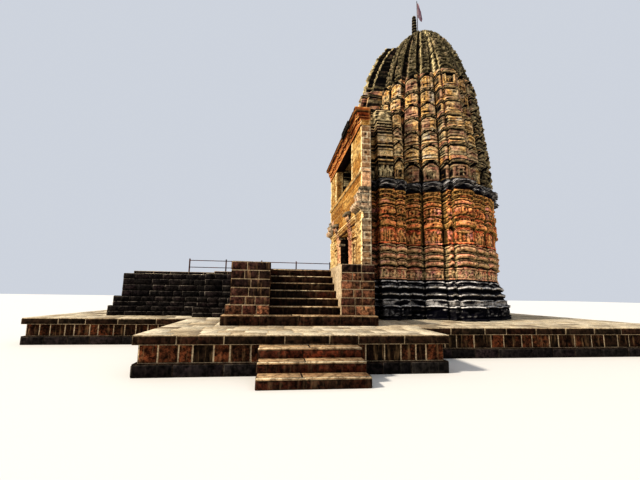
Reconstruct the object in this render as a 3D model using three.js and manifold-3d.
// A stone temple on its stepped terrace: a star-plan tower of stacked miniature shrines, a two-storey
// masonry front, a hall platform without its hall, and the flights of steps that lead up to it.
// Millimetres. +Z up, +X from the front to the back of the sanctum, origin under the tower's axis.
import * as THREE from 'three';
import { mergeVertices, mergeGeometries } from 'three/addons/utils/BufferGeometryUtils.js';
import Module from 'manifold-3d';

const wasm = await Module();
wasm.setup();

// Gap kept between pieces that are cut along a slanted face
const JOINT_GAP = 0.3;

// Terrace: a paved podium with a front part that projects towards the lower steps
const TERRACE_TOP = 825;
const TERRACE_FOOTING_TOP = 260;
const TERRACE_COPING_BOTTOM = 630;
const COPING_OVERHANG = 100;
const FOOTING_INSET = 20;
const TERRACE = {
  left: -14800, bayLeft: -9790, bayRight: -3110, right: 5900, front: -7640, side: 5900, wing: 2900,
};

// Lower steps, in front of the terrace
const LOWER_STEPS = { count: 3, left: -7300, right: -5200, tread: 360 };

// Upper stair between two piers, up to the hall platform
const STAIR = {
  front: -5520, tread: 335, firstRise: 281, rise: 231, steps: 7,
  left: -7140, right: -5110, pierLeft: -8190, pierRight: -4140, pierFront: -5350,
  pierTop: 2560, pierFootRise: 270, pierFootOut: 110, baseLeft: -8400, baseRight: -4090,
};
const PLATFORM_TOP = TERRACE_TOP + STAIR.firstRise + STAIR.rise * (STAIR.steps - 1);

// Hall platform: three widths, narrowing away from the tower, on a base of two mouldings
const PLATFORM = {
  left: -12650, porchRight: -9500, porchHalf: 1100, wingHalf: 1950, hallLeft: -8300, hallHalf: 3200,
  right: -3640, frontLeft: -4040, frontHalf: 3450, wallTop: 2380, pavingInset: 260,
};
const BASE_TIERS = [
  { name: 'platform_foot', out: 320, bottom: TERRACE_TOP, top: 1180 },
  { name: 'platform_base', out: 200, bottom: 1180, top: 1530 },
];

// Iron railing along the platform, from the porch to the front doorway
const RAILING = {
  left: -10720, right: -4450, posts: 5, y: 800, height: 680, post: 50, bar: 30, barDrops: [75, 375],
};

// Tower plan: star points between the four central offsets, as fractions of the tower's radius
const TOWER = {
  radius: 2775, pointAngles: [20, 36, 54, 70], pointHalf: 225, grooveDepth: 0.145,
  offsetHalf: 500, offsetFront: 2980, imageHalf: 300, imageFront: 3160, offsetGroove: 2400, frontStep: 300,
};

// Vestibule that joins the tower to the front
const VESTIBULE = { front: -3640, recessHalf: 2300, recessEnd: -3150, sideHalf: 2720, end: -2200, slot: -2680 };
const SANCTUM = { half: 1350, doorWall: -2050, doorHalf: 550, doorTop: 4600 };
const UPPER_ROOM = { half: 1650, floor: 6190, ceiling: 8000 };

// Heights of the tower's courses
const PITHA_TOP = 2280;
const ROLLS_TOP = 3620;
const WALL_TOP = 5760;
const EAVE_TOP = 6190;
const STOREY_LEVELS = [6190, 7150, 7840, 8510, 9180, 9800, 10460, 11250];
const STOREYS_WITH_VESTIBULE = 4;

// Course profiles: height, and how far the course stands out from the wall face
const PITHA_PROFILE = [
  [TERRACE_TOP, 470], [1120, 470], [1160, 380], [1440, 360], [1490, 230], [1580, 300], [1660, 150],
  [1800, 260], [1860, 110], [2000, 190], [2060, 50], [PITHA_TOP, 30],
];
const ROLLS_PROFILE = [
  [PITHA_TOP, 0], [2740, 10], [2870, 120], [2990, 10], [3130, 120], [3260, 10], [3400, 130], [3550, 10],
  [ROLLS_TOP, 0],
];
const WALL_PROFILE = [
  [ROLLS_TOP, 0], [4240, 0], [4310, 130], [4420, 150], [4540, 0], [4720, 80], [4800, -10], [5040, 90],
  [5120, -10], [5380, 100], [5460, 0], [WALL_TOP, 0],
];
const EAVE_PROFILE = [[WALL_TOP, 0], [5850, 210], [5990, 270], [6050, 90], [EAVE_TOP, -30]];

// Radius of the storeys at their feet, from the wall up to the shoulder
const STOREY_RADII = [2710, 2680, 2620, 2550, 2475, 2400, 2320, 2210];
const CORNICE_OUT = 80;

// How far the front spine reaches at the feet of the storeys above the vestibule, and at their top
const FRONT_REACH = [3470, 3400, 3230, 3000];

// Ribbed crown above the storeys: height, radius, how deep the grooves stay, reach of the spines and of the
// front spine, which ends on a flat shoulder
const CROWN_PROFILE = [
  [11250, 2100, 1.0, 2400, 2960], [11600, 2060, 1.0, 2290, 2850], [12200, 1870, 0.9, 2010, 2640],
  [12800, 1690, 0.8, 1790, 2380], [13300, 1470, 0.7, 1550, 2130], [13780, 1230, 0.6, 1290, 1780],
  [13800, 1220, 0.6, 1280, 1300], [14200, 950, 0.5, 990, 1000], [14500, 640, 0.4, 665, 670],
  [14700, 480, 0.3, 500, 505],
];

// Masonry front: a screen wall across the vestibule, with a wide opening on each storey
const FRONT = {
  face: -4000, back: -3640, half: 3390, panelFace: -3930, doorHalf: 950, doorFace: -3850,
  pilaster: 480, corniceBottom: 4400, corniceTop: 4700, sillTop: 6280, windowHalf: 1650,
  lintelBottom: 7900, eaveBottom: 8230, eaveTop: 8600, eaveOut: 270,
};
const EAVE_CREST = { near: -2660, far: -1380, height: 260, thick: 110 };

// Stepped capitals over the front's pilasters: along Y from the middle, how far out, and their heights
const CAPITALS = {
  corner: [
    { from: 2450, to: 3430, out: 260, bottom: 4700, top: 5000 },
    { from: 2880, to: 3430, out: 190, bottom: 5000, top: 5300 },
    { from: 3180, to: 3430, out: 60, bottom: 5300, top: 5540 },
  ],
  jamb: [
    { from: 1000, to: 1620, out: 240, bottom: 4700, top: 4920 },
    { from: 1120, to: 1500, out: 150, bottom: 4920, top: 5060 },
  ],
};

// Finial, flag pole and flag on the crown
const CROWN_TOP = CROWN_PROFILE[CROWN_PROFILE.length - 1][0];
const FINIAL = { x: -330, height: 1220, radius: 130 };
const POLE = { x: -150, radius: 18, top: 16800 };
const FLAG = { width: 260, height: 1080, thick: 24, top: 16700 };

const STONE = {
  sandstone: new THREE.MeshStandardMaterial({ color: 0xa8703f, roughness: 0.9, metalness: 0 }),
  greyStone: new THREE.MeshStandardMaterial({ color: 0x8a8070, roughness: 0.92, metalness: 0 }),
  darkStone: new THREE.MeshStandardMaterial({ color: 0x2e2628, roughness: 0.9, metalness: 0 }),
  paving: new THREE.MeshStandardMaterial({ color: 0xd8c29c, roughness: 0.88, metalness: 0 }),
  goldStone: new THREE.MeshStandardMaterial({ color: 0xcf8c3c, roughness: 0.88, metalness: 0 }),
  redStone: new THREE.MeshStandardMaterial({ color: 0x6e3b26, roughness: 0.9, metalness: 0 }),
};
const IRON = new THREE.MeshStandardMaterial({ color: 0x3a2a28, roughness: 0.7, metalness: 0.4 });
const CLOTH = new THREE.MeshStandardMaterial({ color: 0xd8b4ac, roughness: 0.95, metalness: 0 });

const temple = new THREE.Group();

function addPiece(name, geometry, material) {
  const mesh = new THREE.Mesh(geometry, material);
  mesh.name = name;
  temple.add(mesh);
  return mesh;
}

// Plain block between two corners
function block(x0, x1, y0, y1, z0, z1) {
  const geometry = new THREE.BoxGeometry(x1 - x0, y1 - y0, z1 - z0);
  return geometry.translate((x0 + x1) / 2, (y0 + y1) / 2, (z0 + z1) / 2);
}

// Vertical prism on a plan outline of [x, y] points
function prism(outline, z0, z1) {
  const shape = new THREE.Shape(outline.map(([x, y]) => new THREE.Vector2(x, y)));
  return new THREE.ExtrudeGeometry(shape, { depth: z1 - z0, bevelEnabled: false }).translate(0, 0, z0);
}

// Moulding that runs along Y from y0 to y1, with a profile of [x, z] points
function moulding(profile, y0, y1) {
  const shape = new THREE.Shape(profile.map(([x, z]) => new THREE.Vector2(x, z)));
  const geometry = new THREE.ExtrudeGeometry(shape, { depth: y1 - y0, bevelEnabled: false });
  return geometry.rotateX(Math.PI / 2).translate(0, y1, 0);
}

// Closed skin through rings of points that all have the same count: [{ outline, z }, ...] from the bottom up
function loft(rings) {
  const count = rings[0].outline.length;
  const positions = [];
  const indices = [];
  for (const { outline, z } of rings) {
    for (const [x, y] of outline) positions.push(x, y, z);
  }
  for (let ring = 0; ring + 1 < rings.length; ring += 1) {
    for (let i = 0; i < count; i += 1) {
      const a = ring * count + i;
      const b = ring * count + ((i + 1) % count);
      indices.push(a, b, b + count, a, b + count, a + count);
    }
  }
  const cap = (ring, flip) => {
    const contour = rings[ring].outline.map(([x, y]) => new THREE.Vector2(x, y));
    for (const [a, b, c] of THREE.ShapeUtils.triangulateShape(contour, [])) {
      const first = ring * count;
      indices.push(...(flip ? [first + a, first + c, first + b] : [first + a, first + b, first + c]));
    }
  };
  cap(0, true);
  cap(rings.length - 1, false);
  const geometry = new THREE.BufferGeometry();
  geometry.setAttribute('position', new THREE.Float32BufferAttribute(positions, 3));
  geometry.setIndex(indices);
  return geometry;
}

// Closed mesh to solid, and back
function solid(geometry) {
  const bare = geometry.clone();
  bare.deleteAttribute('normal');
  bare.deleteAttribute('uv');
  const merged = mergeVertices(bare, 1e-3);
  const mesh = new wasm.Mesh({
    numProp: 3,
    vertProperties: new Float32Array(merged.attributes.position.array),
    triVerts: new Uint32Array(merged.index.array),
  });
  return new wasm.Manifold(mesh);
}

function skin(body) {
  const mesh = body.getMesh();
  const geometry = new THREE.BufferGeometry();
  geometry.setAttribute('position', new THREE.BufferAttribute(new Float32Array(mesh.vertProperties), 3));
  geometry.setIndex(new THREE.BufferAttribute(new Uint32Array(mesh.triVerts), 1));
  return geometry;
}

const joined = (geometries) => skin(geometries.map(solid).reduce((sum, next) => sum.add(next)));
const cut = (geometry, tool) => skin(solid(geometry).subtract(solid(tool)));
const common = (geometry, region) => skin(solid(geometry).intersect(solid(region)));

const mirrorY = (outline) => outline.map(([x, y]) => [x, -y]).reverse();
const polar = (radius, degrees) => {
  const angle = THREE.MathUtils.degToRad(degrees);
  return [radius * Math.cos(angle), radius * Math.sin(angle)];
};

// One central offset, on the side that faces the given direction, anticlockwise, out to its two front faces
function offsetPoints(direction, scale, offset = TOWER.offsetFront * scale, image = TOWER.imageFront * scale) {
  const groove = TOWER.offsetGroove * scale;
  const half = TOWER.offsetHalf * scale;
  const imageHalf = TOWER.imageHalf * scale;
  const splay = 60 * scale;
  const local = [
    [groove, -half - splay], [offset, -half], [offset, -imageHalf], [image, -imageHalf],
    [image, imageHalf], [offset, imageHalf], [offset, half], [groove, half + splay],
  ];
  const [c, s] = polar(1, direction);
  return local.map(([u, v]) => [u * c - v * s, u * s + v * c]);
}

// One star point: the two corners of its outer face
function pointFace(angle, scale) {
  const half = THREE.MathUtils.radToDeg(Math.atan(TOWER.pointHalf / TOWER.radius));
  return [polar(TOWER.radius * scale, angle - half), polar(TOWER.radius * scale, angle + half)];
}

// The star points of the quadrant that follows a direction, with the grooves between them
function quadrantPoints(direction, scale, depth, angles = TOWER.pointAngles) {
  const points = [];
  angles.forEach((angle, i) => {
    if (i > 0) {
      const groove = TOWER.radius * scale * (1 - TOWER.grooveDepth * depth);
      points.push(polar(groove, direction + (angles[i - 1] + angle) / 2));
    }
    points.push(...pointFace(direction + angle, scale));
  });
  return points;
}

// Whole star, for the courses above the vestibule's roof: the front spine reaches further than the other three
function starOutline(radius, frontReach, depth = 1, spineReach = (radius * TOWER.imageFront) / TOWER.radius) {
  const scale = radius / TOWER.radius;
  const step = (TOWER.offsetFront - TOWER.radius) / (TOWER.imageFront - TOWER.radius);
  const offset = radius + (spineReach - radius) * step;
  const frontOffset = Math.max(offset, frontReach - TOWER.frontStep);
  return [0, 90, 180, 270].flatMap((direction) => {
    const faces = direction === 180 ? [frontOffset, frontReach] : [offset, spineReach];
    return [...offsetPoints(direction, scale, ...faces), ...quadrantPoints(direction, scale, depth)];
  });
}

// Star with the vestibule's two side walls in place of the front offset
function bodyOutline(radius) {
  const scale = radius / TOWER.radius;
  const { front, recessHalf, recessEnd, sideHalf, end, slot } = VESTIBULE;
  const nearSide = [
    [front, -recessHalf * scale], [recessEnd, -recessHalf * scale], [recessEnd, -sideHalf * scale],
    [slot - 40, -sideHalf * scale], [slot, -(sideHalf - 130) * scale], [slot + 40, -sideHalf * scale],
    [end, -sideHalf * scale], [end + 20, -(recessHalf - 200) * scale],
    polar(TOWER.radius * scale * (1 - TOWER.grooveDepth), 225),
  ];
  const [first, second, third, fourth] = TOWER.pointAngles;
  return [
    ...nearSide,
    ...quadrantPoints(180, scale, 1, [third, fourth]),
    ...offsetPoints(270, scale),
    ...quadrantPoints(270, scale, 1),
    ...offsetPoints(0, scale),
    ...quadrantPoints(0, scale, 1),
    ...offsetPoints(90, scale),
    ...quadrantPoints(90, scale, 1, [first, second]),
    ...mirrorY(nearSide),
  ];
}

const courseRings = (profile) => profile.map(([z, out]) => ({ outline: bodyOutline(TOWER.radius + out), z }));

// Terrace and its lower steps
function terraceOutline(inset) {
  const { left, bayLeft, bayRight, right, front, side, wing } = TERRACE;
  return [
    [bayLeft + inset, front + inset], [bayRight - inset, front + inset], [bayRight - inset, -side + inset],
    [right - inset, -side + inset], [right - inset, side - inset], [bayLeft + inset, side - inset],
    [bayLeft + inset, wing - inset], [left + inset, wing - inset], [left + inset, -wing + inset],
    [bayLeft + inset, -wing + inset],
  ];
}

function addTerrace() {
  addPiece('terrace_footing', prism(terraceOutline(FOOTING_INSET), 0, TERRACE_FOOTING_TOP), STONE.darkStone);
  const wall = prism(terraceOutline(COPING_OVERHANG), TERRACE_FOOTING_TOP, TERRACE_COPING_BOTTOM);
  addPiece('terrace_wall', wall, STONE.redStone);
  addPiece('terrace_coping', prism(terraceOutline(0), TERRACE_COPING_BOTTOM, TERRACE_TOP), STONE.paving);
  const rise = TERRACE_TOP / (LOWER_STEPS.count + 1);
  for (let step = 1; step <= LOWER_STEPS.count; step += 1) {
    const front = TERRACE.front - LOWER_STEPS.tread * (LOWER_STEPS.count + 1 - step);
    const aboveFooting = rise * (step - 1) > TERRACE_FOOTING_TOP;
    const back = TERRACE.front + (aboveFooting ? COPING_OVERHANG : FOOTING_INSET);
    const slab = block(LOWER_STEPS.left, LOWER_STEPS.right, front, back, rise * (step - 1), rise * step);
    addPiece(`lower_step_${step}`, slab, STONE.redStone);
  }
}

// Block that stands against the platform's near side and follows its base mouldings
function againstPlatform(x0, x1, front, z0, z1) {
  const tiers = [...BASE_TIERS, { out: 0, bottom: BASE_TIERS[1].top, top: z1 }];
  const parts = tiers.filter(({ bottom, top }) => bottom < z1 && top > z0).map(({ out, bottom, top }) => (
    block(x0, x1, front, -PLATFORM.hallHalf - out, Math.max(bottom, z0), Math.min(top, z1))
  ));
  return parts.length > 1 ? joined(parts) : parts[0];
}

// Upper stair and its piers
function addStair() {
  const baseTop = TERRACE_TOP + STAIR.firstRise;
  const base = againstPlatform(STAIR.baseLeft, STAIR.baseRight, STAIR.front, TERRACE_TOP, baseTop);
  addPiece('stair_step_1', base, STONE.darkStone);
  for (let step = 2; step <= STAIR.steps; step += 1) {
    const bottom = baseTop + STAIR.rise * (step - 2);
    const front = STAIR.front + STAIR.tread * (step - 1);
    const slab = againstPlatform(STAIR.left, STAIR.right, front, bottom, bottom + STAIR.rise);
    addPiece(`stair_step_${step}`, slab, STONE.redStone);
  }
  const shaft = againstPlatform(STAIR.pierLeft, STAIR.left, STAIR.pierFront, baseTop, STAIR.pierTop);
  const footTop = baseTop + STAIR.pierFootRise;
  const footLeft = STAIR.pierLeft - STAIR.pierFootOut;
  const foot = againstPlatform(footLeft, STAIR.left, STAIR.pierFront - 60, baseTop, footTop);
  addPiece('stair_pier_left', joined([shaft, foot]), STONE.redStone);
  const right = againstPlatform(STAIR.right, STAIR.pierRight, STAIR.pierFront, baseTop, STAIR.pierTop);
  addPiece('stair_pier_right', right, STONE.redStone);
}

// Hall platform
function platformOutline(out) {
  const p = PLATFORM;
  const frontHalf = p.frontHalf + Math.max(out, 0);
  const near = [
    [p.left - out, -p.porchHalf - out], [p.porchRight - out, -p.porchHalf - out],
    [p.porchRight - out, -p.wingHalf - out], [p.hallLeft - out, -p.wingHalf - out],
    [p.hallLeft - out, -p.hallHalf - out], [p.frontLeft, -p.hallHalf - out],
    [p.frontLeft, -frontHalf], [p.right, -frontHalf],
  ];
  return [...near, ...mirrorY(near)];
}

function addPlatform() {
  for (const { name, out, bottom, top } of BASE_TIERS) {
    addPiece(name, prism(platformOutline(out), bottom, top), STONE.darkStone);
  }
  const [, { top: baseTop }] = BASE_TIERS;
  addPiece('platform_wall', prism(platformOutline(0), baseTop, PLATFORM.wallTop), STONE.darkStone);
  const paving = prism(platformOutline(-PLATFORM.pavingInset), PLATFORM.wallTop, PLATFORM_TOP);
  addPiece('platform_paving', paving, STONE.paving);
}

// Iron railing: square posts with two bars through them
function addRailing() {
  const { left, right, posts, y, height } = RAILING;
  const top = PLATFORM_TOP + height;
  const p = RAILING.post / 2;
  const b = RAILING.bar / 2;
  const parts = RAILING.barDrops.map((drop) => (
    block(left, right, y - b, y + b, top - drop - b, top - drop + b)
  ));
  for (let i = 0; i < posts; i += 1) {
    const x = left + ((right - left) * i) / (posts - 1);
    parts.push(block(x - p, x + p, y - p, y + p, PLATFORM_TOP, top));
  }
  addPiece('railing', joined(parts), IRON);
}

// Sanctum and vestibule walls: the star courses with the rooms left open, in three lengths
function wallRegions(z0, z1) {
  const far = 6000;
  const { half } = SANCTUM;
  const g = JOINT_GAP;
  const near = [[-far, -far], [far, -far], [half + g, -half], [-far, -half]];
  const back = [[half, -half + 2 * g], [far, -far + 2 * g], [far, far - 2 * g], [half, half - 2 * g]];
  return { near: prism(near, z0, z1), back: prism(back, z0, z1), far: prism(mirrorY(near), z0, z1) };
}

function addWalls() {
  addPiece('tower_base', loft(courseRings(PITHA_PROFILE)), STONE.darkStone);
  const tiers = { rolls: ROLLS_PROFILE, wall: WALL_PROFILE };
  for (const [tier, profile] of Object.entries(tiers)) {
    const body = loft(courseRings(profile));
    const regions = wallRegions(profile[0][0] - 10, profile[profile.length - 1][0] + 10);
    for (const [side, region] of Object.entries(regions)) {
      addPiece(`tower_${tier}_${side}`, common(body, region), STONE.sandstone);
    }
  }
  addPiece('tower_eave', loft(courseRings(EAVE_PROFILE)), STONE.greyStone);
  const { half, doorWall, doorHalf, doorTop } = SANCTUM;
  const wall = block(doorWall, -half, -half, half, PLATFORM_TOP, WALL_TOP);
  const doorway = block(doorWall - 100, -half + 100, -doorHalf, doorHalf, PLATFORM_TOP - 100, doorTop);
  addPiece('sanctum_doorway', cut(wall, doorway), STONE.sandstone);
  addPiece('sanctum_floor', block(VESTIBULE.front, half, -half, half, PITHA_TOP, PLATFORM_TOP), STONE.paving);
}

// One storey of stacked miniature shrines: a body that leans in a little, under a projecting cornice
function storeyRings(outlineAt, [z0, z1], [r0, r1], [reach0, reach1]) {
  const stages = [[0, 0], [0.6, -10], [0.74, CORNICE_OUT], [0.84, CORNICE_OUT * 0.8]];
  const rings = stages.map(([rise, out]) => (
    { outline: outlineAt(r0 + out, reach0 + out), z: z0 + (z1 - z0) * rise }
  ));
  return [...rings, { outline: outlineAt(r1, reach1), z: z1 }];
}

function addStoreys() {
  const { half, floor, ceiling } = UPPER_ROOM;
  const room = block(VESTIBULE.front - 10, SANCTUM.doorWall, -half, half, floor - 10, ceiling);
  const behind = block(SANCTUM.doorWall, 6000, -6000, 6000, 0, 20000);
  const vestibule = [];
  for (let i = 0; i + 1 < STOREY_LEVELS.length; i += 1) {
    const above = i - STOREYS_WITH_VESTIBULE;
    const levels = [STOREY_LEVELS[i], STOREY_LEVELS[i + 1]];
    const radii = [STOREY_RADII[i], STOREY_RADII[i + 1]];
    if (above < 0) {
      const body = loft(storeyRings(bodyOutline, levels, radii, radii));
      addPiece(`tower_storey_${i + 1}`, common(body, behind), STONE.sandstone);
      vestibule.push(body);
    } else {
      const reaches = [FRONT_REACH[above], FRONT_REACH[above + 1]];
      const rings = storeyRings(starOutline, levels, radii, reaches);
      addPiece(`tower_storey_${i + 1}`, loft(rings), STONE.sandstone);
    }
  }
  const front = block(-6000, SANCTUM.doorWall - JOINT_GAP, -6000, 6000, 0, 20000);
  const shell = vestibule.map((body) => solid(body).intersect(solid(front)));
  const hollow = shell.reduce((sum, next) => sum.add(next)).subtract(solid(room));
  const band = (y0, y1, z0, z1) => solid(block(-6000, 6000, y0, y1, z0, z1));
  addPiece('vestibule_upper_near', skin(hollow.intersect(band(-6000, 0, 0, ceiling))), STONE.greyStone);
  addPiece('vestibule_upper_far', skin(hollow.intersect(band(0, 6000, 0, ceiling))), STONE.greyStone);
  addPiece('vestibule_roof', skin(hollow.intersect(band(-6000, 6000, ceiling, 20000))), STONE.greyStone);
}

function addCrown() {
  const rings = CROWN_PROFILE.map(([z, radius, depth, spine, front]) => (
    { outline: starOutline(radius, front, depth, spine), z }
  ));
  addPiece('tower_crown', loft(rings), STONE.greyStone);
}

// Masonry front
function frontWallPlan(inner, face, edge) {
  const { half, back, panelFace, pilaster } = FRONT;
  return [
    [back, -half], [back, -inner], [edge, -inner], [edge, -inner - 300], [panelFace, -inner - 300],
    [panelFace, -half + pilaster], [face, -half + pilaster], [face, -half],
  ];
}

function addFront() {
  const f = FRONT;
  const lower = frontWallPlan(f.doorHalf, f.face, f.doorFace);
  addPiece('front_wall_near', prism(lower, PLATFORM_TOP, f.corniceBottom), STONE.goldStone);
  addPiece('front_wall_far', prism(mirrorY(lower), PLATFORM_TOP, f.corniceBottom), STONE.goldStone);
  const cornice = [
    [f.back, f.corniceBottom], [f.face - 30, f.corniceBottom], [f.face - 110, f.corniceBottom + 110],
    [f.face - 110, f.corniceBottom + 190], [f.face - 20, f.corniceTop], [f.back, f.corniceTop],
  ];
  addPiece('front_cornice', moulding(cornice.reverse(), -f.half - 40, f.half + 40), STONE.greyStone);
  for (const [place, blocks] of Object.entries(CAPITALS)) {
    for (const [side, sign] of [['near', -1], ['far', 1]]) {
      const parts = blocks.map(({ from, to, out, bottom, top }) => {
        const [y0, y1] = sign < 0 ? [-to, -from] : [from, to];
        return block(f.face - out, f.face, y0, y1, bottom, top);
      });
      addPiece(`front_capital_${place}_${side}`, joined(parts), STONE.greyStone);
    }
  }
  const parapet = [
    [f.back, f.corniceTop], [f.face, f.corniceTop], [f.face, f.sillTop - 120], [f.face - 60, f.sillTop - 90],
    [f.face - 60, f.sillTop], [f.back, f.sillTop],
  ];
  addPiece('front_parapet', moulding(parapet.reverse(), -f.half, f.half), STONE.goldStone);
  const upper = frontWallPlan(f.windowHalf, f.face, f.face);
  addPiece('front_upper_wall_near', prism(upper, f.sillTop, f.lintelBottom), STONE.goldStone);
  addPiece('front_upper_wall_far', prism(mirrorY(upper), f.sillTop, f.lintelBottom), STONE.goldStone);
  const lintel = block(f.face - 50, f.back, -f.half, f.half, f.lintelBottom, f.eaveBottom);
  addPiece('front_lintel', lintel, STONE.goldStone);
  const eave = [
    [f.back, f.eaveBottom], [f.face - 50, f.eaveBottom], [f.face - f.eaveOut, f.eaveBottom - 60],
    [f.face - f.eaveOut, f.eaveBottom + 20], [f.face - 120, f.eaveTop - 60], [f.back, f.eaveTop],
  ];
  addPiece('front_eave', moulding(eave.reverse(), -f.half - 60, f.half + 60), STONE.redStone);
  const crestFront = f.face - f.eaveOut;
  const crestBottom = f.eaveBottom - 60;
  const { near, far, height, thick } = EAVE_CREST;
  const crest = block(crestFront - thick, crestFront, near, far, crestBottom, crestBottom + height);
  addPiece('front_crest', crest, STONE.darkStone);
}

// Finial, pole and flag
function addTop() {
  const top = CROWN_TOP;
  const profile = [[0, 0], [FINIAL.radius, 0]];
  const rings = 5;
  for (let i = 0; i < rings; i += 1) {
    const z = 60 + (i * (FINIAL.height - 200)) / rings;
    const r = FINIAL.radius * (1 - 0.1 * i);
    profile.push([r * 0.72, z], [r, z + 50], [r, z + 100]);
  }
  profile.push([FINIAL.radius * 0.3, FINIAL.height - 120], [0, FINIAL.height]);
  const lathe = new THREE.LatheGeometry(profile.map(([r, z]) => new THREE.Vector2(r, z)), 12);
  addPiece('finial', lathe.rotateX(Math.PI / 2).translate(FINIAL.x, 0, top), STONE.greyStone);
  const pole = new THREE.CylinderGeometry(POLE.radius, POLE.radius, POLE.top - top, 8);
  addPiece('flag_pole', pole.rotateX(Math.PI / 2).translate(POLE.x, 0, (POLE.top + top) / 2), IRON);
  const flagLeft = POLE.x + POLE.radius + JOINT_GAP;
  const flagRight = flagLeft + FLAG.width;
  const flagHalf = FLAG.thick / 2;
  const flag = block(flagLeft, flagRight, -flagHalf, flagHalf, FLAG.top - FLAG.height, FLAG.top);
  addPiece('flag', flag, CLOTH);
}

addTerrace();
addStair();
addPlatform();
addRailing();
addWalls();
addStoreys();
addCrown();
addFront();
addTop();

export default temple;
